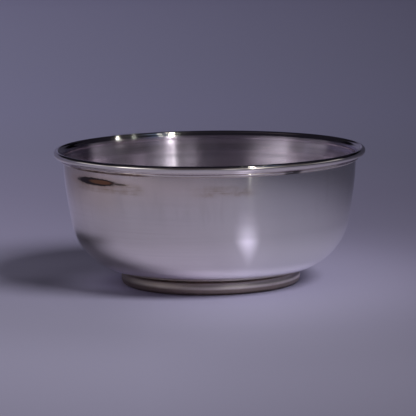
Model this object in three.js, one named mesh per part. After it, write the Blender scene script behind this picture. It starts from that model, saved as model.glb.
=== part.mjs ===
// Small silver bowl on a low foot. Millimetres, +Z up.
// The origin is the centre of the circle that the foot stands on.
// Every piece is turned about Z, so each is one closed outline of radius and height.
import * as THREE from "three";

// Bowl body: one sheet of silver, spun to shape
const sheetThickness = 0.9;
const wallRadius = 56.3; // outside of the upright wall, just below the lip
const bellyDraw = 2.8; // how far the outside is drawn in from the wall at the belly
const bellyRise = 18.4; // height of the belly above the flat underside
const bellyLean = 9.5; // degrees that the side leans outwards at the belly
const floorEase = 0.3; // share of the lower curve's reach that leaves the underside level
const bellyEase = 0.66; // share of the lower curve's rise that runs straight at the belly
const wallEase = 0.33; // share of the upper curve's rise that runs straight at each end

// Lip: a moulded wire that laps over the edge of the body
const bowlHeight = 52.0; // from the foot's underside to the top of the lip
const lipDepth = 4.1; // from the top of the lip down to its seam on the wall
const lipOverhang = 3.7; // how far the lip stands out past the wall
const lipLap = 1.6; // height of wall that the moulding laps over
const rollHalfWidth = 1.1;
const rollHalfHeight = 1.3;
const rollUndercut = 30; // degrees that the roll turns in below its lowest point
const beadRadius = 0.5; // small bead under the roll
const beadTop = 60; // degrees up the bead where the hollow above it starts
const ledgeWidth = 0.7; // flat underside between the wall and the bead's middle

// Foot: a half-round ring
const footRadius = 34.6; // widest part of the foot
const footWidth = 3.2; // from the foot's inside to its widest part
const footLand = 1.8; // width of the flat that it stands on
const footHeight = 5.45;

// Hard solder
const solderFilm = 0.15; // thickness of solder between two pieces
const lipFillet = 0.5; // leg of the fillet under the lip
const footFillet = 0.6; // leg of the fillets along the foot, outwards
const footFilletDrop = 0.45; // how far those fillets run down the foot

// Fineness of the turned surfaces
const turnSteps = 72;
const lowerCurveSteps = 9;
const upperCurveSteps = 6;
const rollSteps = 14;
const beadSteps = 4;
const hollowSteps = 3;
const flareSteps = 6;
const bulgeSteps = 8;

// Sizes that follow from the ones above
const undersideHeight = footHeight + solderFilm;
const seamHeight = bowlHeight - lipDepth;
const bodyTop = seamHeight + lipLap;
const wallTopOfCurve = seamHeight - lipFillet;
const wallInside = wallRadius - sheetThickness;
const lapRadius = wallRadius + solderFilm;
const lipSeatHeight = bodyTop + solderFilm;
const footInside = footRadius - footWidth;
const landOutside = footInside + footLand;
const filletStart = footHeight - footFilletDrop;

const radians = THREE.MathUtils.degToRad;
const at = (radius, height) => new THREE.Vector2(radius, height);

// Points of an elliptical arc, by angle from straight outwards
function arc(centre, halfWidth, halfHeight, fromDegrees, toDegrees, steps) {
  const points = [];
  for (let i = 0; i <= steps; i++) {
    const angle = radians(fromDegrees + ((toDegrees - fromDegrees) * i) / steps);
    points.push(
      at(centre.x + halfWidth * Math.cos(angle), centre.y + halfHeight * Math.sin(angle)),
    );
  }
  return points;
}

// Outline points in order, without a point that repeats the one before it
function joined(...runs) {
  const smallest = 0.01;
  return runs
    .flat()
    .filter((point, i, all) => i === 0 || point.distanceTo(all[i - 1]) > smallest);
}

// A closed solid of revolution about Z. The outline runs anticlockwise: up its outer side.
function turned(name, outline, material) {
  const geometry = new THREE.LatheGeometry(outline, turnSteps);
  geometry.rotateX(Math.PI / 2);
  const mesh = new THREE.Mesh(geometry, material);
  mesh.name = name;
  return mesh;
}

// The outside of the body, from the flat underside round to the upright wall
function bodyCurves() {
  const start = at(footRadius, undersideHeight);
  const belly = at(wallRadius - bellyDraw, undersideHeight + bellyRise);
  const end = at(wallRadius, wallTopOfCurve);
  const lean = at(Math.sin(radians(bellyLean)), Math.cos(radians(bellyLean)));
  const floorHandle = floorEase * (belly.x - start.x);
  const bellyHandle = bellyEase * (belly.y - start.y);
  const wallHandle = wallEase * (end.y - belly.y);
  const lower = new THREE.CubicBezierCurve(
    start,
    at(start.x + floorHandle, start.y),
    belly.clone().addScaledVector(lean, -bellyHandle),
    belly,
  );
  const upper = new THREE.CubicBezierCurve(
    belly,
    belly.clone().addScaledVector(lean, wallHandle),
    at(end.x, end.y - wallHandle),
    end,
  );
  return [
    { curve: lower, steps: lowerCurveSteps },
    { curve: upper, steps: upperCurveSteps },
  ];
}

// Points of the body's curves, moved inwards by the given distance
function bodySurface(inwards) {
  const runs = bodyCurves().map(({ curve, steps }) => {
    const points = [];
    for (let i = 0; i <= steps; i++) {
      const point = curve.getPoint(i / steps);
      const along = curve.getTangent(i / steps);
      points.push(at(point.x - inwards * along.y, point.y + inwards * along.x));
    }
    return points;
  });
  return joined(...runs);
}

function bowlBody() {
  const outline = joined(
    [at(0, undersideHeight)],
    bodySurface(0),
    [at(wallRadius, bodyTop), at(wallInside, bodyTop)],
    bodySurface(sheetThickness).reverse(),
    [at(0, undersideHeight + sheetThickness)],
  );
  return turned("bowl_body", outline, silver(0.32));
}

// Main roll, hollow and small bead outside, and a flare inside that meets the wall
function lipMoulding() {
  const rollCentre = at(wallRadius + lipOverhang - rollHalfWidth, bowlHeight - rollHalfHeight);
  const beadCentre = at(lapRadius + ledgeWidth, seamHeight + beadRadius);
  const bead = arc(beadCentre, beadRadius, beadRadius, -90, beadTop, beadSteps);
  const roll = arc(rollCentre, rollHalfWidth, rollHalfHeight, -90 - rollUndercut, 90, rollSteps);
  const beadEnd = bead[bead.length - 1];
  const hollow = new THREE.QuadraticBezierCurve(
    beadEnd,
    at(beadEnd.x + (roll[0].x - beadEnd.x) / 3, roll[0].y),
    roll[0],
  );
  const rollTop = roll[roll.length - 1];
  const seat = at(wallInside, lipSeatHeight);
  const flare = new THREE.CubicBezierCurve(
    rollTop,
    at((rollTop.x + seat.x) / 2, rollTop.y),
    at(seat.x, (rollTop.y + seat.y) / 2),
    seat,
  );
  const start = at(lapRadius, seamHeight);
  const outline = joined(
    [start],
    bead,
    hollow.getPoints(hollowSteps),
    roll,
    flare.getPoints(flareSteps),
    [at(lapRadius, lipSeatHeight), start],
  );
  return turned("lip_moulding", outline, silver(0.28));
}

// Solder between the wall and the lip moulding, with its fillet under the lip
function lipSolder() {
  const start = at(wallRadius, wallTopOfCurve);
  const outline = [
    start,
    at(wallRadius + lipFillet, seamHeight),
    at(lapRadius, seamHeight),
    at(lapRadius, lipSeatHeight),
    at(wallInside, lipSeatHeight),
    at(wallInside, bodyTop),
    at(wallRadius, bodyTop),
    start,
  ];
  return turned("lip_solder", outline, tarnish());
}

function footRing() {
  const bulgeCentre = at(landOutside, filletStart / 2);
  const bulgeWidth = footWidth - footLand;
  const start = at(footInside, 0);
  const outline = joined(
    [start],
    arc(bulgeCentre, bulgeWidth, filletStart / 2, -90, 90, bulgeSteps),
    [at(landOutside, footHeight), at(footInside, footHeight), at(footInside, filletStart), start],
  );
  return turned("foot_ring", outline, silver(0.35));
}

// Solder between the foot and the underside of the bowl, with a fillet on each side
function footSolder() {
  const start = at(footInside - footFillet, undersideHeight);
  const outline = [
    start,
    at(footInside, filletStart),
    at(footInside, footHeight),
    at(landOutside, footHeight),
    at(landOutside, filletStart),
    at(landOutside + footFillet, undersideHeight),
    start,
  ];
  return turned("foot_solder", outline, tarnish());
}

function silver(roughness) {
  return new THREE.MeshStandardMaterial({ color: 0xd9d4cc, roughness, metalness: 1 });
}

function tarnish() {
  return new THREE.MeshStandardMaterial({ color: 0x6b5142, roughness: 0.55, metalness: 0.8 });
}

const bowl = new THREE.Group();
bowl.name = "silver_bowl";
bowl.add(bowlBody(), lipMoulding(), lipSolder(), footRing(), footSolder());

export default bowl;
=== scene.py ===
# Looks of a small old silver bowl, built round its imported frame. Metres, +Z up.
import math

import bpy
from mathutils import Matrix, Vector


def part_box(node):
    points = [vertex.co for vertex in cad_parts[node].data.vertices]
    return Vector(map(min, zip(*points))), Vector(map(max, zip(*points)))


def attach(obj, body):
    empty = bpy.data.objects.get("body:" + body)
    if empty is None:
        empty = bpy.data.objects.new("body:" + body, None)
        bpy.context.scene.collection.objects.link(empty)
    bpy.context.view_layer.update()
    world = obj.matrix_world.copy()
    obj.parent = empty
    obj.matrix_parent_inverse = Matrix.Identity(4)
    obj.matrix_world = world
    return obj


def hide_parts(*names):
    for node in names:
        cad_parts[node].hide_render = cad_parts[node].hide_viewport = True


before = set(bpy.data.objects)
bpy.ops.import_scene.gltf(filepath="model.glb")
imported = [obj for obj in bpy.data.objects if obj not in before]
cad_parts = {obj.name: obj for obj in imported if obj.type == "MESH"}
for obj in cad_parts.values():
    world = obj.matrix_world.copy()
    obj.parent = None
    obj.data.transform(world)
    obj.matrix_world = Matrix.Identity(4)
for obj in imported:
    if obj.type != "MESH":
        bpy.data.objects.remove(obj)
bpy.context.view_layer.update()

MM = 0.001

# Sizes read from the frame
body_low, body_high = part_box("bowl_body")
lip_low, lip_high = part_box("lip_moulding")
seam_low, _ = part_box("lip_solder")
_, foot_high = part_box("foot_ring")
WALL_RADIUS = body_high.x
UNDERSIDE = body_low.z
BODY_TOP = body_high.z
LIP_RADIUS = lip_high.x
LIP_TOP = lip_high.z
SEAM = lip_low.z
WALL_CURVE_TOP = seam_low.z
FOOT_RADIUS = foot_high.x
FOOT_TOP = foot_high.z

# Sizes of the sheet, the wires and the curves, which the frame's boxes don't give
SHEET = 0.9 * MM
BELLY_DRAW = 2.8 * MM
BELLY_RISE = 18.4 * MM
BELLY_LEAN = math.radians(9.5)
FLOOR_EASE = 0.3
BELLY_EASE = 0.66
WALL_EASE = 0.33
ROLL_HALF_WIDTH = 1.1 * MM
ROLL_HALF_HEIGHT = 1.3 * MM
ROLL_UNDERCUT = 30  # degrees that the roll turns in below its lowest point
BEAD_RADIUS = 0.5 * MM
BEAD_TOP = 60  # degrees up the bead where the hollow above it starts
LEDGE = 0.7 * MM
FOOT_WIDTH = 3.2 * MM
FOOT_LAND = 1.8 * MM
LIP_FILLET = 0.5 * MM
FOOT_FILLET = 0.6 * MM
FOOT_FILLET_DROP = 0.45 * MM

# Inside, the sheet flares out to the lip wire, which rounds over to meet it
FLARE_START = 43.0 * MM
FLARE_RADIUS = 56.75 * MM
FLARE_LEAN = math.radians(24)
ROLL_INNER = 155  # degrees round the roll where the flare meets it
SHEET_EDGE = 0.3 * MM  # what is left of the sheet at its top
POLISH_EDGE = 50.3 * MM  # height where the lip's polish ends and the look of the inside starts

# Sizes that follow
SOLDER_FILM = UNDERSIDE - FOOT_TOP
LAP_RADIUS = WALL_RADIUS + SOLDER_FILM
FOOT_INSIDE = FOOT_RADIUS - FOOT_WIDTH
LAND_OUTSIDE = FOOT_INSIDE + FOOT_LAND
FILLET_START = FOOT_TOP - FOOT_FILLET_DROP

# Fineness of the turned meshes
TURN_STEPS = 288
LOWER_CURVE_STEPS = 40
UPPER_CURVE_STEPS = 28
INSIDE_FLARE_STEPS = 16
BEAD_STEPS = 16
HOLLOW_STEPS = 10
ROLL_STEPS = 54
LIP_FLARE_STEPS = 8
BULGE_STEPS = 40
SHARP_ANGLE = math.radians(38)
SAME_POINT = 0.004 * MM
ON_AXIS = 1e-9


def arc(centre, half_width, half_height, start, end, steps):
    """Points of an elliptical arc, by degrees from straight outwards."""
    points = []
    for i in range(steps + 1):
        angle = math.radians(start + (end - start) * i / steps)
        across = half_width * math.cos(angle)
        points.append((centre[0] + across, centre[1] + half_height * math.sin(angle)))
    return points


def bezier(a, b, c, d, steps):
    """Points of a cubic curve, with the direction of the curve at each."""
    rows = []
    for i in range(steps + 1):
        t = i / steps
        s = 1 - t
        weights = (s**3, 3 * s * s * t, 3 * s * t * t, t**3)
        slopes = (-s * s, s * s - 2 * s * t, 2 * s * t - t * t, t * t)
        point = Vector((0, 0))
        along = Vector((0, 0))
        for corner, weight, slope in zip((a, b, c, d), weights, slopes):
            point += weight * Vector(corner)
            along += slope * Vector(corner)
        rows.append((point, along.normalized()))
    return rows


def joined(*runs):
    """Outline points in order, without a point that repeats the one before it."""
    points = []
    for run in runs:
        for point in run:
            if not points or math.dist(point, points[-1]) > SAME_POINT:
                points.append((point[0], point[1]))
    return points


def lathe_mesh(name, outline, steps):
    """A mesh turned about Z. An outline that starts on the axis stays open between its ends."""
    verts, rings, faces = [], [], []
    for radius, height in outline:
        if radius < ON_AXIS:
            rings.append([len(verts)] * steps)
            verts.append((0.0, 0.0, height))
            continue
        rings.append(list(range(len(verts), len(verts) + steps)))
        for i in range(steps):
            angle = 2 * math.pi * i / steps
            verts.append((radius * math.cos(angle), radius * math.sin(angle), height))
    closed = outline[0][0] > ON_AXIS
    pairs = zip(rings, rings[1:] + rings[:1]) if closed else zip(rings, rings[1:])
    for low, high in pairs:
        for i in range(steps):
            j = (i + 1) % steps
            face = list(dict.fromkeys([low[i], low[j], high[j], high[i]]))
            if len(face) > 2:
                faces.append(face)
    mesh = bpy.data.meshes.new(name)
    mesh.from_pydata(verts, [], faces)
    return mesh


def turned(name, outline, node, slot, *materials):
    """A piece turned about Z that stands for a CAD node. A second material is for its inside."""
    mesh = lathe_mesh(name, outline, TURN_STEPS)
    for material in materials:
        mesh.materials.append(material)
    if len(materials) > 1:
        for face in mesh.polygons:
            inwards = face.normal.x * face.center.x + face.normal.y * face.center.y < 0
            level_floor = face.normal.z > 0.5 and face.center.z < BODY_TOP
            face.material_index = int(inwards and face.center.z < POLISH_EDGE or level_floor)
    mesh.shade_smooth()
    mesh.set_sharp_from_angle(angle=SHARP_ANGLE)
    piece = bpy.data.objects.new(name, mesh)
    bpy.context.scene.collection.objects.link(piece)
    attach(piece, "root")
    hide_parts(node)
    return piece


def wall_curves():
    """The outside of the body, from the flat underside round to the upright wall."""
    start = Vector((FOOT_RADIUS, UNDERSIDE))
    belly = Vector((WALL_RADIUS - BELLY_DRAW, UNDERSIDE + BELLY_RISE))
    end = Vector((WALL_RADIUS, WALL_CURVE_TOP))
    lean = Vector((math.sin(BELLY_LEAN), math.cos(BELLY_LEAN)))
    floor_handle = start + Vector((FLOOR_EASE * (belly.x - start.x), 0))
    below = belly - lean * BELLY_EASE * BELLY_RISE
    wall_handle = WALL_EASE * (end.y - belly.y)
    lower = bezier(start, floor_handle, below, belly, LOWER_CURVE_STEPS)
    above = belly + lean * wall_handle
    upper = bezier(belly, above, end - Vector((0, wall_handle)), end, UPPER_CURVE_STEPS)
    return lower + upper


def wall_surface(inwards):
    return [(p.x - inwards * d.y, p.y + inwards * d.x) for p, d in wall_curves()]


def body_outline():
    inside = [point for point in wall_surface(SHEET) if point[1] < FLARE_START]
    start, end = Vector(inside[-1]), Vector((FLARE_RADIUS, BODY_TOP))
    rise = (end.y - start.y) / 3
    below = end - Vector((math.tan(FLARE_LEAN), 1)) * rise
    flare = [p for p, _ in bezier(start, start + Vector((0, rise)), below, end, INSIDE_FLARE_STEPS)]
    return joined(
        [(0, UNDERSIDE)],
        wall_surface(0),
        [(WALL_RADIUS, SEAM), (FLARE_RADIUS + SHEET_EDGE, BODY_TOP)],
        reversed(inside + flare),
        [(0, UNDERSIDE + SHEET)],
    )


def lip_outline():
    roll_centre = (LIP_RADIUS - ROLL_HALF_WIDTH, LIP_TOP - ROLL_HALF_HEIGHT)
    bead_centre = (LAP_RADIUS + LEDGE, SEAM + BEAD_RADIUS)
    bead = arc(bead_centre, BEAD_RADIUS, BEAD_RADIUS, -90, BEAD_TOP, BEAD_STEPS)
    turn_in = -90 - ROLL_UNDERCUT
    roll = arc(roll_centre, ROLL_HALF_WIDTH, ROLL_HALF_HEIGHT, turn_in, ROLL_INNER, ROLL_STEPS)
    foot, head = bead[-1], roll[0]
    bend = (foot[0] + (head[0] - foot[0]) / 3, head[1])
    handles = between(foot, bend, 2 / 3), between(head, bend, 2 / 3)
    hollow = [p for p, _ in bezier(foot, *handles, head, HOLLOW_STEPS)]
    seat = Vector((FLARE_RADIUS, BODY_TOP))
    above = seat + Vector((math.tan(FLARE_LEAN), 1)) * (roll[-1][1] - seat.y) / 2
    flare = [p for p, _ in bezier(Vector(roll[-1]), above, above, seat, LIP_FLARE_STEPS)]
    return joined([(LAP_RADIUS, SEAM)], bead, hollow, roll, flare, [(LAP_RADIUS, BODY_TOP)])


def between(a, b, share):
    return (a[0] + (b[0] - a[0]) * share, a[1] + (b[1] - a[1]) * share)


def lip_seam_outline():
    return [
        (WALL_RADIUS, WALL_CURVE_TOP),
        (WALL_RADIUS + LIP_FILLET, SEAM),
        (LAP_RADIUS, SEAM),
    ]


def foot_outline():
    centre = (LAND_OUTSIDE, FILLET_START / 2)
    bulge = arc(centre, FOOT_WIDTH - FOOT_LAND, FILLET_START / 2, -90, 90, BULGE_STEPS)
    return joined(
        [(FOOT_INSIDE, 0)],
        bulge,
        [(LAND_OUTSIDE, FOOT_TOP), (FOOT_INSIDE, FOOT_TOP), (FOOT_INSIDE, FILLET_START)],
    )


def foot_seam_outline():
    return [
        (FOOT_INSIDE - FOOT_FILLET, UNDERSIDE),
        (FOOT_INSIDE, FILLET_START),
        (FOOT_INSIDE, FOOT_TOP),
        (LAND_OUTSIDE, FOOT_TOP),
        (LAND_OUTSIDE, FILLET_START),
        (LAND_OUTSIDE + FOOT_FILLET, UNDERSIDE),
    ]


# Colours of the silver, of what has dulled it, of painted light and shade on it, and of the solder
POLISHED = (0.86, 0.81, 0.75, 1)
HANDLED = (0.80, 0.75, 0.69, 1)
SCRATCHED = (0.55, 0.50, 0.46, 1)
# Painted reflection and painted shade on the outside
PAINTED_COOL_TONE = (0.835, 0.84, 0.775, 1)
PAINTED_SHADE_TONE = (0.71, 0.71, 0.67, 1)
YELLOWED = (0.80, 0.69, 0.58, 1)
DEEP_YELLOW = (0.80, 0.66, 0.48, 1)
RUBBED = (0.56, 0.52, 0.48, 1)
SMEARED = (0.47, 0.37, 0.25, 1)
TARNISH_BLACK = (0.06, 0.045, 0.045, 1)
TARNISH_BROWN = (0.30, 0.155, 0.085, 1)
TARNISH_HALO = (0.55, 0.40, 0.27, 1)
INSIDE_LIGHT = (0.74, 0.66, 0.74, 1)
INSIDE_DULL = (0.66, 0.58, 0.66, 1)
# Painted shade and painted light on the inner wall
INSIDE_PAINTED_SHADE = (0.47, 0.42, 0.47, 1)
INSIDE_PAINTED_LIGHT = (0.79, 0.72, 0.79, 1)
INSIDE_PAINTED_BRIGHT = (0.86, 0.78, 0.86, 1)
LIP_LIGHT = (0.84, 0.80, 0.71, 1)
LIP_SCRATCHED = (0.74, 0.69, 0.61, 1)
DIRT_BROWN = (0.15, 0.075, 0.04, 1)
DIRT_BLACK = (0.03, 0.025, 0.025, 1)
# Painted shade on the foot's left side
FOOT_SHADED_LEFT = (0.20, 0.155, 0.125, 1)
FOOT_SPECKS = (0.30, 0.23, 0.18, 1)
FOOT_SCRATCHED = (0.42, 0.36, 0.32, 1)
SOLDER_LIGHT = (0.70, 0.64, 0.60, 1)
SOLDER_BROWN = (0.34, 0.24, 0.17, 1)
SOLDER_DARK = (0.14, 0.10, 0.08, 1)

# The foot from the floor up, in painted shade and highlight: a painted contact shadow at the floor, then
# heights in millimetres where each tone starts and is full
FOOT_CONTACT_SHADOW = (0.05, 0.035, 0.03, 1)
FOOT_BANDS = (
    (0.4, 1.2, (0.25, 0.21, 0.165, 1)),  # painted brown shade below the ridge
    (1.9, 2.7, (0.68, 0.63, 0.56, 1)),  # a painted highlight on the ridge
    (3.0, 3.6, (0.40, 0.36, 0.35, 1)),  # painted shade above the ridge
    (4.3, 4.9, (0.30, 0.25, 0.22, 1)),  # painted shade in the crease under the body
)

# Where the marks start and end: degrees round the bowl from its front, and heights
STAINED_SEAM = (-66, -24)
BLACK_BEAD = (28.5, 36)
BLACK_SEAM = (29.2, 36)
YELLOWED_WALL = (-85, 5)
WALL_BELOW_SPOT = (-72, -38)
LEFT_SMEAR = (-62, -27)
MIDDLE_SMEAR = (-5, 15)
SMEAR_HEIGHTS = (40.4 * MM, 44.0 * MM)

# The spot of tarnish: degrees and height of its middle, and half of its width and height
SPOT = (-49.5, 44.05 * MM, 12.5, 1.5 * MM)
SPOT_TAIL = (-36.5, 43.95 * MM, 4.5, 0.5 * MM)
SPOT_MIDDLE = (-46.5, 44.1 * MM, 8.0, 0.95 * MM)


class Nodes:
    """A tree of shader nodes, filled by short calls."""

    def __init__(self, tree):
        self.tree = tree

    def put(self, socket, value):
        if isinstance(value, bpy.types.NodeSocket):
            self.tree.links.new(value, socket)
        else:
            socket.default_value = value

    def node(self, kind, *inputs, **settings):
        made = self.tree.nodes.new("ShaderNode" + kind)
        for name, value in settings.items():
            setattr(made, name, value)
        for socket, value in zip(made.inputs, inputs):
            if value is not None:
                self.put(socket, value)
        return made

    def math(self, operation, *inputs):
        return self.node("Math", *inputs, operation=operation).outputs[0]

    def times(self, a, b):
        return self.math("MULTIPLY", a, b)

    def plus(self, a, b):
        return self.math("ADD", a, b)

    def length(self, x, y):
        """Length of a flat step of x and y."""
        flat = self.node("CombineXYZ", x, y, 0.0).outputs[0]
        return self.node("VectorMath", flat, operation="LENGTH").outputs["Value"]

    def azimuth(self, x, y):
        """Degrees round the bowl from its front, positive to the right."""
        return self.math("DEGREES", self.math("ARCTAN2", x, self.times(y, -1.0)))

    def blend(self, share, a, b):
        """Colour a where share is 0 and colour b where it is 1."""
        made = self.node("Mix", data_type="RGBA")
        for name, value in (("Factor_Float", share), ("A_Color", a), ("B_Color", b)):
            socket = next(s for s in made.inputs if s.identifier == name)
            self.put(socket, value)
        return next(s for s in made.outputs if s.identifier == "Result_Color")

    def mix(self, share, a, b):
        """Value a where share is 0 and value b where it is 1."""
        made = self.node("Mix", share, data_type="FLOAT")
        self.put(made.inputs["A"], a)
        self.put(made.inputs["B"], b)
        return made.outputs["Result"]

    def level(self, value, low, high, out_low=0.0, out_high=1.0):
        """out_low where the value is low, out_high where it is high, and a soft step between."""
        made = self.node("MapRange", value, low, high, out_low, out_high, interpolation_type="SMOOTHSTEP")
        return made.outputs[0]

    def noise(self, vector, scale, detail=2.0, rough=0.5):
        made = self.node("TexNoise")
        self.put(made.inputs["Vector"], vector)
        self.put(made.inputs["Scale"], scale)
        self.put(made.inputs["Detail"], detail)
        self.put(made.inputs["Roughness"], rough)
        return made.outputs[0]


class Shader(Nodes):
    """A material's nodes."""

    def __init__(self, name):
        self.material = bpy.data.materials.new(name)
        self.material.use_nodes = True
        super().__init__(self.material.node_tree)
        self.shader = self.tree.nodes["Principled BSDF"]
        self.output = self.tree.nodes["Material Output"]

    def set(self, name, value):
        self.put(self.shader.inputs[name], value)


def grey(value):
    return (value, value, value, 1)


class Silver(Shader):
    """Shader nodes that know where on the bowl they are."""

    def __init__(self, name):
        super().__init__(name)
        place = self.node("TexCoord").outputs["Object"]
        parts = self.node("SeparateXYZ", place).outputs
        self.place = place
        self.x, self.y, self.z = parts
        radius = self.length(self.x, self.y)
        self.turn = self.azimuth(self.x, self.y)
        # The side is -1 at the left, 1 at the right, and 0 at the front and the back
        self.side = self.math("DIVIDE", self.x, radius)
        # Roughly the distance along the section: it grows up the wall and out along the floor
        self.along = self.plus(radius, self.z)

    def lines(self, spacing, length, detail=2.0):
        """Noise drawn out into lines round the bowl."""
        drawn_out = (1 / length, 1 / length, 0.0)
        round_part = self.node("VectorMath", self.place, drawn_out, operation="MULTIPLY")
        height = self.times(self.along, 1 / spacing)
        lift = self.node("CombineXYZ", 0.0, 0.0, height).outputs[0]
        vector = self.node("VectorMath", round_part.outputs[0], lift, operation="ADD").outputs[0]
        return self.noise(vector, 1.0, detail)


def brushed(s, roughness):
    """Scratches that run round the bowl spread highlights up and down the wall."""
    s.set("Metallic", 1.0)
    s.set("Roughness", roughness)
    s.set("Anisotropic", 1.0)
    s.set("Anisotropic Rotation", 0.25)
    s.set("Tangent", s.node("Tangent", direction_type="RADIAL", axis="Z").outputs[0])


def within(s, value, low, high, edge):
    """1 between low and high, and 0 past a soft edge on each side."""
    rise = s.level(value, low - edge, low + edge)
    drop = s.level(value, high - edge, high + edge, 1.0, 0.0)
    return s.times(rise, drop)


def oval(s, turn, height, half_turn, half_height, wander):
    """Distance from the middle of a mark, where 1 is its edge."""
    across = s.math("DIVIDE", s.math("SUBTRACT", s.turn, turn), half_turn)
    up = s.math("DIVIDE", s.math("SUBTRACT", s.z, height), half_height)
    return s.plus(s.length(across, up), wander)


def outside_material():
    s = Silver("old_silver_outside")
    scratches = s.lines(0.35 * MM, 30 * MM, 3.0)
    bands = s.lines(2.2 * MM, 60 * MM, 2.0)
    clouds = s.noise(s.place, 28.0, 3.0)
    mottle = s.noise(s.place, 420.0, 3.0, 0.7)
    tone = s.blend(s.level(clouds, 0.35, 0.7), POLISHED, HANDLED)
    tone = s.blend(s.level(scratches, 0.42, 0.75, 0.0, 0.2), tone, SCRATCHED)

    # Painted reflection and shade: the silver cooler towards the right, darker high up and most of all on
    # the right, and darker along its far left edge
    tone = s.blend(s.level(s.side, -0.26, 0.71, 0.0, 0.9), tone, PAINTED_COOL_TONE)
    high_shade = s.times(s.level(s.z, 25 * MM, 38 * MM), s.level(s.side, 0.0, 0.5, 0.25, 0.5))
    edge = s.times(s.level(s.z, 30 * MM, 40 * MM), s.level(s.side, -1.0, -0.96, 0.6, 0.0))
    tone = s.blend(s.math("MAXIMUM", high_shade, edge), tone, PAINTED_SHADE_TONE)

    # Yellowed silver under the lip, mostly on one side
    high = s.level(s.z, 30 * MM, 46 * MM)
    side = within(s, s.turn, *YELLOWED_WALL, 22)
    warm = s.times(s.times(high, side), s.level(clouds, 0.2, 0.6, 0.55, 1.0))
    tone = s.blend(s.times(warm, 0.75), tone, YELLOWED)
    below_spot = s.times(s.level(s.z, 26 * MM, 40 * MM), within(s, s.turn, *WALL_BELOW_SPOT, 9))
    tone = s.blend(s.times(below_spot, 0.4), tone, DEEP_YELLOW)

    # Faint upright streaks where the hand has rubbed it
    upright = s.node("VectorMath", s.place, (310, 310, 12), operation="MULTIPLY").outputs[0]
    streaks = s.level(s.noise(upright, 1.0, 3.0, 0.6), 0.45, 0.75, 0.0, 0.22)
    streaks = s.times(streaks, s.level(s.z, 24 * MM, 36 * MM))
    tone = s.blend(streaks, tone, RUBBED)

    # Faint brown smears that a cloth has dragged round the wall
    left = within(s, s.turn, *LEFT_SMEAR, 4)
    middle = within(s, s.turn, *MIDDLE_SMEAR, 4)
    row = within(s, s.z, *SMEAR_HEIGHTS, 0.9 * MM)
    place = s.times(s.math("MAXIMUM", left, middle), row)
    haze = s.level(s.noise(s.place, 240.0, 3.0, 0.6), 0.32, 0.68, 0.12, 0.6)
    fine = s.level(s.lines(0.55 * MM, 16 * MM, 1.0), 0.5, 0.68)
    fine = s.times(fine, s.level(mottle, 0.35, 0.6))
    smear = s.times(place, s.math("MULTIPLY_ADD", fine, 0.5, haze))
    tone = s.blend(smear, tone, SMEARED)

    # A long spot of dark tarnish with a brown middle and a drawn-out end
    wander = s.math("MULTIPLY_ADD", mottle, 0.5, -0.25)
    spot = oval(s, *SPOT, wander)
    tail = oval(s, *SPOT_TAIL, wander)
    middle = oval(s, *SPOT_MIDDLE, wander)
    dark = s.math("MAXIMUM", s.level(spot, 0.8, 1.1, 1.0, 0.0), s.level(tail, 0.5, 1.2, 0.8, 0.0))
    stain = s.blend(s.level(middle, 0.6, 1.0, 1.0, 0.0), TARNISH_BLACK, TARNISH_BROWN)
    halo = s.level(spot, 0.9, 2.0, 0.35, 0.0)
    tone = s.blend(halo, tone, TARNISH_HALO)
    tone = s.blend(dark, tone, stain)
    s.set("Base Color", tone)
    brushed(s, s.mix(dark, s.level(bands, 0.3, 0.7, 0.12, 0.135), 0.4))
    return s.material


def inside_material():
    s = Silver("old_silver_inside")
    bands = s.lines(1.6 * MM, 90 * MM, 2.0)
    tone = s.blend(s.level(bands, 0.3, 0.7), INSIDE_LIGHT, INSIDE_DULL)
    # Painted shade in a band high on the inner wall, and painted light in the bands below it
    tone = s.blend(within(s, s.z, 44.6 * MM, 47.3 * MM, 0.9 * MM), tone, INSIDE_PAINTED_SHADE)
    tone = s.blend(s.level(s.z, 43.4 * MM, 44.6 * MM, 1.0, 0.0), tone, INSIDE_PAINTED_LIGHT)
    tone = s.blend(s.level(s.z, 40.0 * MM, 42.5 * MM, 1.0, 0.0), tone, INSIDE_PAINTED_BRIGHT)
    s.set("Base Color", tone)
    brushed(s, s.level(bands, 0.3, 0.7, 0.23, 0.27))
    return s.material


def lip_material():
    s = Silver("old_silver_lip")
    scratches = s.lines(0.3 * MM, 40 * MM, 2.0)
    tone = s.blend(s.level(scratches, 0.4, 0.75), LIP_LIGHT, LIP_SCRATCHED)
    # Tarnish that a cloth doesn't reach, in the hollow and along the bead
    left = within(s, s.turn, *STAINED_SEAM, 4)
    right = within(s, s.turn, *BLACK_BEAD, 1.5)
    starts = s.mix(right, SEAM + 0.4 * MM, SEAM + 0.8 * MM)
    ends = s.mix(right, SEAM + 0.8 * MM, SEAM + 1.2 * MM)
    low = s.level(s.z, starts, ends, 1.0, 0.0)
    deep = s.math("MAXIMUM", left, s.math("MAXIMUM", right, 0.18))
    speckle = s.level(s.noise(s.place, 300.0, 3.0), 0.3, 0.6, 0.65, 1.0)
    dirt = s.times(s.times(low, deep), speckle)
    s.set("Base Color", s.blend(dirt, tone, s.blend(right, DIRT_BROWN, DIRT_BLACK)))
    s.set("Metallic", 1.0)
    s.set("Roughness", s.level(scratches, 0.3, 0.7, 0.07, 0.11))
    return s.material


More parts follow.
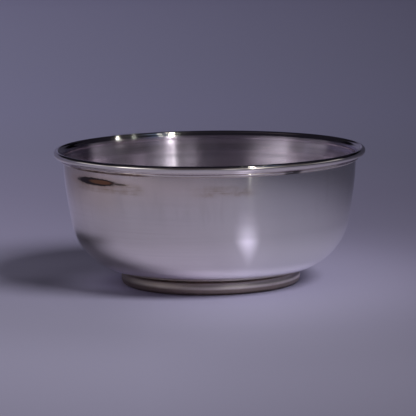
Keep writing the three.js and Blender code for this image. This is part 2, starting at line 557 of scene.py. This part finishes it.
def foot_material():
    s = Silver("old_silver_foot")
    scratches = s.lines(0.3 * MM, 40 * MM, 2.0)
    speckle = s.noise(s.place, 260.0, 3.0, 0.6)
    # A painted contact shadow at the floor, with bands of painted highlight and shade above it
    tone = FOOT_CONTACT_SHADOW
    for start, full, band in FOOT_BANDS:
        tone = s.blend(s.level(s.z, start * MM, full * MM), tone, band)
    # Painted shade: the foot darker and browner towards its left side
    leftwards = s.level(s.side, -0.5, 0.5, 0.65, 0.0)
    far_left = s.level(s.side, -0.94, -0.71, 0.85, 0.0)
    left = s.math("MAXIMUM", leftwards, far_left)
    tone = s.blend(left, tone, FOOT_SHADED_LEFT)
    tone = s.blend(s.level(speckle, 0.5, 0.7, 0.0, 0.25), tone, FOOT_SPECKS)
    s.set("Base Color", s.blend(s.level(scratches, 0.5, 0.8, 0.0, 0.3), tone, FOOT_SCRATCHED))
    s.set("Metallic", 1.0)
    s.set("Roughness", s.level(scratches, 0.3, 0.7, 0.42, 0.52))
    return s.material


def seam_material():
    s = Silver("tarnished_solder")
    spots = s.noise(s.place, 180.0, 3.0)
    tarnish = s.blend(s.level(spots, 0.4, 0.65), SOLDER_BROWN, SOLDER_DARK)
    left = within(s, s.turn, *STAINED_SEAM, 6)
    right = within(s, s.turn, *BLACK_SEAM, 1.2)
    right = s.times(right, s.level(s.z, 20 * MM, 30 * MM))
    worn = s.math("MAXIMUM", s.math("MAXIMUM", left, right), s.level(s.z, 20 * MM, 30 * MM, 1.0, 0.3))
    tone = s.blend(worn, SOLDER_LIGHT, tarnish)
    s.set("Base Color", s.blend(right, tone, DIRT_BLACK))
    s.set("Metallic", 0.8)
    s.set("Roughness", 0.4)
    return s.material


def build_bowl():
    inside, foot, seam = inside_material(), foot_material(), seam_material()
    turned("bowl_shell", body_outline(), "bowl_body", "body_silver", outside_material(), inside)
    turned("lip_wire", lip_outline(), "lip_moulding", "lip_silver", lip_material(), inside)
    turned("lip_seam", lip_seam_outline(), "lip_solder", "solder", seam)
    turned("foot_wire", foot_outline(), "foot_ring", "foot_silver", foot)
    turned("foot_seam", foot_seam_outline(), "foot_solder", "solder", seam)


# Stage
SWEEP_RADIUS = 2.4
SWEEP_BEND = 0.6
SWEEP_HEIGHT = 1.1
BEND_STEPS = 16
SWEEP_STEPS = 96
POOL_CENTRE = (-0.12, -0.32, 0.0)
FLOOR_TONES = (
    (0.25, (0.245, 0.230, 0.320)),
    (0.44, (0.231, 0.212, 0.320)),
    (0.61, (0.214, 0.198, 0.306)),
    (0.75, (0.211, 0.202, 0.310)),
    (0.96, (0.234, 0.224, 0.357)),
    (1.34, (0.269, 0.259, 0.408)),
    (2.00, (0.339, 0.323, 0.510)),
)
BACKDROP_DARK = (0.010, 0.009, 0.014, 1)
BACKDROP_FRONT = (0.12, 0.105, 0.13, 1)
MIRROR_GAIN = 0.2

# The room round the stage: light for matt surfaces, and what the silver shows of it
AMBIENT = 0.285
ROOM_DARK = (0.010, 0.009, 0.016, 1)
ROOM_FRONT = (0.075, 0.066, 0.084, 1)

# Lights: degrees from the camera's side and above the floor, metres, and brightness where 1 is white
KEY_AZIMUTH, KEY_ELEVATION, KEY_RADIUS, KEY_DISTANCE = 47, 43.5, 13.7, 2.3
KEY_LEVEL = 17.5
BULB_AZIMUTH, BULB_ELEVATION, BULB_RADIUS, BULB_DISTANCE = 38, 43.5, 0.45, 0.98 * KEY_DISTANCE
BULB_LEVEL = 500
GAP_AZIMUTH, GAP_WIDTH, GAP_HEIGHTS, GAP_DISTANCE = 30.6, 0.45, (1, 25), 1.5
GAP_LEVEL = 15
WINDOW_AZIMUTHS, WINDOW_HEIGHTS, WINDOW_DISTANCE = (45, 71), (44, 66), 1.9
WINDOW_LEVEL, WINDOW_COLOUR = 0.16, (0.38, 0.56, 1.0)
# Pale things in the room, which only the silver shows: brightness by azimuth, with soft edges
# between the first two heights and between the last two
STRIP_HEIGHTS = (3, 8, 16, 27)
STRIP_DISTANCE, STRIP_STEPS = 2.0, 90
STRIP_COLOUR = (0.95, 0.93, 1.0, 1)
STRIP_BANDS = (
    (-140, 0.02), (-122, 0.02), (-115, 0.04), (-109, 0.40), (-98, 0.46), (-77, 0.44), (-72, 0.66),
    (-66, 1.9), (-58, 1.7), (-48, 1.05), (-42, 0.70), (-37, 0.34), (-31, 0.15), (-22, 0.05),
    (-8, 0.06), (4, 0.13), (9, 0.20), (13, 0.62), (18, 0.74), (26, 0.46), (31.5, 1.6), (35, 2.7),
    (38.5, 1.3), (43, 0.75), (50, 0.34), (57, 0.14), (70, 0.12), (87, 0.26), (101, 0.32),
    (109, 0.38), (116, 0.04),
)
# Small lights that glint on the lip: azimuth, height, size and level
GLINT_DISTANCE = 1.8
GLINTS = ((47, 62, 0.09, 50), (60, 60, 0.05, 13), (86, 52.5, 0.02, 130), (100, 46.5, 0.02, 450))

# A painted glare in the floor's colour, which only the silver shows: a fan that starts near the foot
GLARE_AZIMUTH, GLARE_DISTANCE, GLARE_LEAN = 22.7, 0.0975, 5.0
GLARE_OUTWARDS, GLARE_INWARDS = 0.013, 0.055
GLARE_START, GLARE_SHORTEST, GLARE_SPREAD = 0.027, 0.005, 0.24
GLARE_GAIN = 2.4

# Camera: metres and radians, pixels of the photo, and millimetres for the sensor
CAMERA_PLACE = (0, -1.0, 0.170)
PITCH, YAW, ROLL = 0.1406, -0.0008, 0.0121
IMAGE_WIDTH = 416
FOCAL_PIXELS = 2612.88
SENSOR_WIDTH = 36


def polar(azimuth, elevation, distance):
    """A point seen from the bowl: azimuth from the camera's side, positive to the right, in degrees."""
    a, e = math.radians(azimuth), math.radians(elevation)
    return Vector((math.sin(a) * math.cos(e), -math.cos(a) * math.cos(e), math.sin(e))) * distance


def floor_colour(s, place, y, z):
    """The floor's tone by distance from a pool of light, and the darker backdrop above it."""
    away = s.node("VectorMath", place, POOL_CENTRE, operation="DISTANCE").outputs["Value"]
    ramp = s.node("ValToRGB", s.times(away, 1 / SWEEP_RADIUS))
    stops = ramp.color_ramp.elements
    for distance, tone in FLOOR_TONES:
        stop = stops[0] if distance == FLOOR_TONES[0][0] else stops.new(distance / SWEEP_RADIUS)
        stop.position = distance / SWEEP_RADIUS
        stop.color = (*tone, 1)
    stops.remove(stops[-1])
    colour = s.blend(s.level(z, 0.5, 0.8), ramp.outputs[0], BACKDROP_DARK)
    in_front = s.times(s.level(z, 0.2, 0.4), s.level(y, -0.6, 0.0, 1.0, 0.0))
    return s.blend(in_front, colour, BACKDROP_FRONT)


def light_fall(s, x, y, glossy):
    """Far off the floor darkens from left to right, nearer only past the bowl's right."""
    aside = s.math("DIVIDE", x, s.math("MAXIMUM", s.plus(y, 1.0), 0.8))
    far_fall = s.node("MapRange", aside, -0.10, 0.14, 0.98, 0.375).outputs[0]
    beside = s.math("MULTIPLY_ADD", s.times(y, 0.35), glossy, x)
    starts = s.mix(glossy, -0.02, 0.01)
    ends = s.mix(glossy, 0.085, 0.16)
    least = s.mix(glossy, 0.66, 0.74)
    near_fall = s.node("MapRange", beside, starts, ends, 1.0, least).outputs[0]
    past_fall = s.node("MapRange", beside, 0.13, 0.30, 1.0, s.mix(glossy, 0.36, 0.5)).outputs[0]
    near_fall = s.times(near_fall, past_fall)
    return s.mix(s.level(y, -0.05, 0.25), near_fall, far_fall)


def glare_distance(s, x, y):
    """Distance from the painted glare on the floor, where 1 is its edge."""
    turn = math.radians(GLARE_AZIMUTH)
    out = s.math("MULTIPLY_ADD", x, math.sin(turn), s.times(y, -math.cos(turn)))
    across = s.math("MULTIPLY_ADD", x, math.cos(turn), s.times(y, math.sin(turn)))
    nearer = s.math("SUBTRACT", GLARE_DISTANCE, out)
    outwards = s.math("MAXIMUM", s.math("SUBTRACT", out, GLARE_DISTANCE), 0.0)
    inwards = s.math("DIVIDE", s.math("MAXIMUM", nearer, 0.0), GLARE_INWARDS)
    offset = s.math("MULTIPLY_ADD", outwards, 1 / GLARE_OUTWARDS, inwards)
    length = s.math("MAXIMUM", s.math("SUBTRACT", out, GLARE_START), GLARE_SHORTEST)
    width = s.times(length, GLARE_SPREAD)
    leaning = s.times(nearer, GLARE_LEAN)
    return s.length(offset, s.plus(s.math("DIVIDE", across, width), leaning))


def mirrored_floor(s, x, y, near):
    """Painted reflection: how much lighter or darker the silver shows the floor than the floor is."""
    away = glare_distance(s, x, y)
    glare = s.plus(s.level(away, 0.0, 1.0, GLARE_GAIN, 0.0), s.level(away, 0.2, 3.0, 0.13, 0.0))
    shine = s.plus(glare, s.level(near, 0.3, 0.9, MIRROR_GAIN, 0.0))
    # Darker beside the bowl's left, a little lighter round it, and lightest close to the foot
    gloom = s.times(s.level(x, -0.085, -0.057, -0.65, 0.0), s.level(y, -0.05, -0.01))
    shine = s.plus(shine, s.times(gloom, s.level(near, 0.075, 0.12, 1.0, 0.0)))
    shine = s.plus(shine, s.level(near, 0.052, 0.085, 0.13, 0.0))
    rim = s.times(s.level(near, 0.034, 0.0475, 2.2, 0.0), s.level(x, -0.01, 0.03, 1.0, 0.4))
    shine = s.plus(shine, rim)
    # Far off, darker on the right and behind, and lighter on the left
    right = s.times(s.level(x, 0.03, 0.13, 0.0, -0.42), s.level(near, 0.09, 0.26))
    left = s.times(s.level(x, -0.05, 0.02, 0.17, 0.0), s.level(near, 0.15, 0.30))
    behind = s.times(s.level(x, -0.20, -0.08, -0.45, 0.0), s.level(y, 0.0, 0.08))
    behind = s.times(behind, s.level(near, 0.15, 0.25))
    return s.plus(shine, s.plus(right, s.plus(left, behind)))


def lit_floor(s, x, y, near):
    """Painted light and shade: how much lighter or darker the floor itself is round the bowl."""
    # In front of the bowl it is darker on the left than on the right
    sway = s.times(s.level(x, -0.045, 0.025, -0.14, 0.27), s.level(near, 0.05, 0.17, 1.0, 0.0))
    # Light that finds its way into the shadow, most of all under the bowl's left side
    wide = s.times(s.level(y, 0.0, 0.022, 0.0, 0.3), s.level(y, 0.04, 0.09, 1.0, 0.0))
    core = s.times(s.level(near, 0.034, 0.066, 1.6, 0.0), s.level(y, -0.036, -0.008))
    core = s.times(core, s.level(y, 0.005, 0.030, 1.0, 0.45))
    fill = s.times(s.plus(wide, core), s.level(x, -0.035, -0.01, 1.0, 0.0))
    return s.plus(sway, s.times(fill, s.level(near, 0.18, 0.32, 1.0, 0.0)))


def floor_material():
    s = Shader("pale_sweep")
    place = s.node("TexCoord").outputs["Object"]
    x, y, z = s.node("SeparateXYZ", place).outputs
    glossy = s.node("LightPath").outputs["Is Glossy Ray"]
    near = s.node("VectorMath", place, operation="LENGTH").outputs["Value"]
    # Painted light: the floor lighter close to the bowl and darker towards the camera
    ring = s.level(near, 0.05, 0.12, 1.15, 1.0)
    front = s.level(y, -0.38, -0.15, 0.60, 1.0)
    change = s.mix(glossy, lit_floor(s, x, y, near), mirrored_floor(s, x, y, near))
    lift = s.times(front, s.plus(change, 1.0))
    lift = s.times(s.times(light_fall(s, x, y, glossy), ring), lift)
    scaled = s.node("VectorMath", floor_colour(s, place, y, z), operation="SCALE")
    s.put(scaled.inputs["Scale"], lift)
    s.set("Base Color", scaled.outputs[0])
    s.set("Roughness", 0.8)
    s.set("Specular IOR Level", 0.0)
    return s.material


def build_sweep():
    """A round floor that bends up into a backdrop all round."""
    flat = SWEEP_RADIUS - SWEEP_BEND
    bend = arc((flat, SWEEP_BEND), SWEEP_BEND, SWEEP_BEND, -90, 0, BEND_STEPS)
    outline = [(0.0, 0.0), (flat / 2, 0.0)] + bend + [(SWEEP_RADIUS, SWEEP_HEIGHT)]
    mesh = lathe_mesh("studio_sweep", outline, SWEEP_STEPS)
    mesh.flip_normals()
    mesh.shade_smooth()
    mesh.materials.append(floor_material())
    sweep = bpy.data.objects.new("studio_sweep", mesh)
    bpy.context.scene.collection.objects.link(sweep)


def build_world():
    """Plain light for matt surfaces. Silver sees a dim room in front of the bowl and a dark one above."""
    world = bpy.data.worlds.new("studio")
    bpy.context.scene.world = world
    world.use_nodes = True
    world.cycles.sampling_method = "NONE"
    s = Nodes(world.node_tree)
    _, y, z = s.node("SeparateXYZ", s.node("TexCoord").outputs["Generated"]).outputs
    low = s.level(z, 0.60, 0.85, 1.0, 0.0)
    front = s.level(y, -0.25, 0.05, 1.0, 0.0)
    room = s.blend(s.times(low, front), ROOM_DARK, ROOM_FRONT)
    glossy = s.node("LightPath").outputs["Is Glossy Ray"]
    s.put(s.tree.nodes["Background"].inputs["Color"], s.blend(glossy, grey(AMBIENT), room))


def lamp(name, azimuth, elevation, distance, size, level, colour=(1, 1, 1), shape="DISK"):
    """A lamp aimed at the bowl. level is its own brightness, where 1 is white."""
    data = bpy.data.lights.new(name, "AREA")
    data.shape = shape
    data.size = size[0]
    data.size_y = size[1]
    area = size[0] * size[1] * (math.pi / 4 if shape == "DISK" else 1)
    data.energy = level * math.pi * area
    data.color = colour
    made = bpy.data.objects.new(name, data)
    made.location = polar(azimuth, elevation, distance)
    made.rotation_mode = "QUATERNION"
    made.rotation_quaternion = (-made.location).to_track_quat("-Z", "Y")
    made.visible_camera = False
    bpy.context.scene.collection.objects.link(made)
    return made


def card(name, azimuths, elevations, distance, level, colour=(1, 1, 1)):
    """A soft white card that fills a range of directions, as the silver sees it."""
    middle = sum(azimuths) / 2
    height = sum(elevations) / 2
    half_turn = math.radians(azimuths[1] - azimuths[0]) / 2
    half_rise = math.radians(elevations[1] - elevations[0]) / 2
    wide = 2 * distance * math.tan(half_turn) * math.cos(math.radians(height))
    tall = 2 * distance * math.tan(half_rise)
    return lamp(name, middle, height, distance, (wide, tall), level, colour, "RECTANGLE")


def build_room():
    """A glowing strip round the bowl that only mirrors show."""
    low, high = STRIP_HEIGHTS[0], STRIP_HEIGHTS[-1]
    first, last = STRIP_BANDS[0][0], STRIP_BANDS[-1][0]
    verts = []
    for height in (low, high):
        for i in range(STRIP_STEPS + 1):
            verts.append(polar(first + (last - first) * i / STRIP_STEPS, height, STRIP_DISTANCE))
    row = STRIP_STEPS + 1
    faces = [(i, i + 1, i + row + 1, i + row) for i in range(STRIP_STEPS)]
    mesh = bpy.data.meshes.new("room_strip")
    mesh.from_pydata(verts, [], faces)
    s = Shader("room_glow")
    x, y, z = s.node("SeparateXYZ", s.node("TexCoord").outputs["Object"]).outputs
    share = s.node("MapRange", s.azimuth(x, y), first, last, 0.0, 1.0).outputs[0]
    ramp = s.node("ValToRGB", share)
    stops = ramp.color_ramp.elements
    stops[0].color = grey(STRIP_BANDS[0][1])
    stops[1].color = grey(STRIP_BANDS[-1][1])
    for azimuth, level in STRIP_BANDS[1:-1]:
        stops.new((azimuth - first) / (last - first)).color = grey(level)
    tilt = s.math("DEGREES", s.math("ARCTAN2", z, s.length(x, y)))
    low_edge = s.level(tilt, low, STRIP_HEIGHTS[1])
    high_edge = s.level(tilt, STRIP_HEIGHTS[2], high, 1.0, 0.0)
    level = s.times(ramp.outputs[0], s.times(low_edge, high_edge))
    glow = s.node("Emission", STRIP_COLOUR, level)
    both = s.node("AddShader", glow.outputs[0], s.node("BsdfTransparent").outputs[0])
    s.tree.links.new(both.outputs[0], s.output.inputs["Surface"])
    s.tree.nodes.remove(s.shader)
    mesh.materials.append(s.material)
    strip = bpy.data.objects.new("room_strip", mesh)
    strip.visible_camera = strip.visible_diffuse = strip.visible_shadow = False
    bpy.context.scene.collection.objects.link(strip)


def build_lights():
    build_world()
    # A wide soft lamp for the floor, and the small bright bulb that the silver shows
    wide = 2 * KEY_DISTANCE * math.tan(math.radians(KEY_RADIUS))
    key = lamp("key_lamp", KEY_AZIMUTH, KEY_ELEVATION, KEY_DISTANCE, (wide, wide), KEY_LEVEL)
    key.visible_glossy = False
    small = 2 * KEY_DISTANCE * math.tan(math.radians(BULB_RADIUS))
    bulb = lamp("key_bulb", BULB_AZIMUTH, BULB_ELEVATION, BULB_DISTANCE, (small, small), BULB_LEVEL)
    bulb.visible_diffuse = False
    window = card("window", WINDOW_AZIMUTHS, WINDOW_HEIGHTS, WINDOW_DISTANCE, WINDOW_LEVEL, WINDOW_COLOUR)
    window.visible_diffuse = False
    build_room()
    for azimuth, height, size, level in GLINTS:
        glint = lamp(f"glint_{azimuth}", azimuth, height, GLINT_DISTANCE, (size, size), level)
        glint.visible_diffuse = False
    gap = (GAP_AZIMUTH - GAP_WIDTH / 2, GAP_AZIMUTH + GAP_WIDTH / 2)
    card("gap", gap, GAP_HEIGHTS, GAP_DISTANCE, GAP_LEVEL)


def build_camera():
    """The photo's camera: it looks along +Y and a little down, and leans a little to one side."""
    flat = math.cos(PITCH)
    forward = Vector((math.sin(YAW) * flat, math.cos(YAW) * flat, -math.sin(PITCH)))
    level = Vector((math.cos(YAW), -math.sin(YAW), 0))
    upright = level.cross(forward)
    right = level * math.cos(ROLL) - upright * math.sin(ROLL)
    up = level * math.sin(ROLL) + upright * math.cos(ROLL)
    data = bpy.data.cameras.new("camera")
    data.sensor_fit = "HORIZONTAL"
    data.sensor_width = SENSOR_WIDTH
    data.lens = SENSOR_WIDTH * FOCAL_PIXELS / IMAGE_WIDTH
    data.clip_start = 0.01
    data.clip_end = 50
    camera = bpy.data.objects.new("camera", data)
    turn = Matrix((right, up, -forward)).transposed().to_4x4()
    camera.matrix_world = Matrix.Translation(CAMERA_PLACE) @ turn
    bpy.context.scene.collection.objects.link(camera)
    bpy.context.scene.camera = camera


build_camera()
build_sweep()
build_lights()
build_bowl()
bpy.context.scene.view_settings.view_transform = "Standard"
